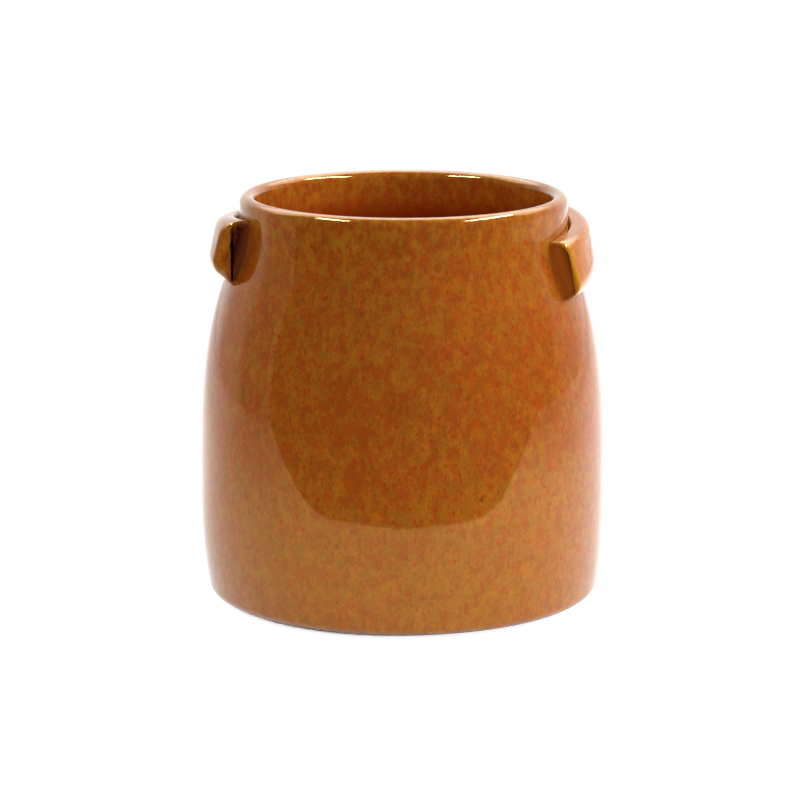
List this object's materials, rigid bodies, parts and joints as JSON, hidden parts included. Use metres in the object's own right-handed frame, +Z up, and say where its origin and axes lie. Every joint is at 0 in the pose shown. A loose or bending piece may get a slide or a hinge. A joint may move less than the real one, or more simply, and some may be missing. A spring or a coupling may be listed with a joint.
{
  "type": "jar planter",
  "caption": "Glazed stoneware jar planter with a full belly, a short neck, a rounded rim and strap handles luted on to its shoulder.",
  "frame": {"origin": "centre of the circle that the foot ring stands on", "axes": "+Z up along the jar's axis and out of its mouth, +X towards the right handle, -Y towards the viewer"},
  "size_m": [0.2764, 0.2764, 0.276],
  "materials": {
    "jar_glaze": "glossy amber glaze over red clay, bare at the foot ring",
    "handle_right_glaze": "glossy amber glaze, yellow where it breaks over the edges",
    "handle_left_glaze": "glossy amber glaze, yellow where it breaks over the edges"
  },
  "bodies": {
    "root": {"jar_body": "jar_glaze", "handle_right": "handle_right_glaze", "handle_left": "handle_left_glaze"}
  },
  "joints": []
}
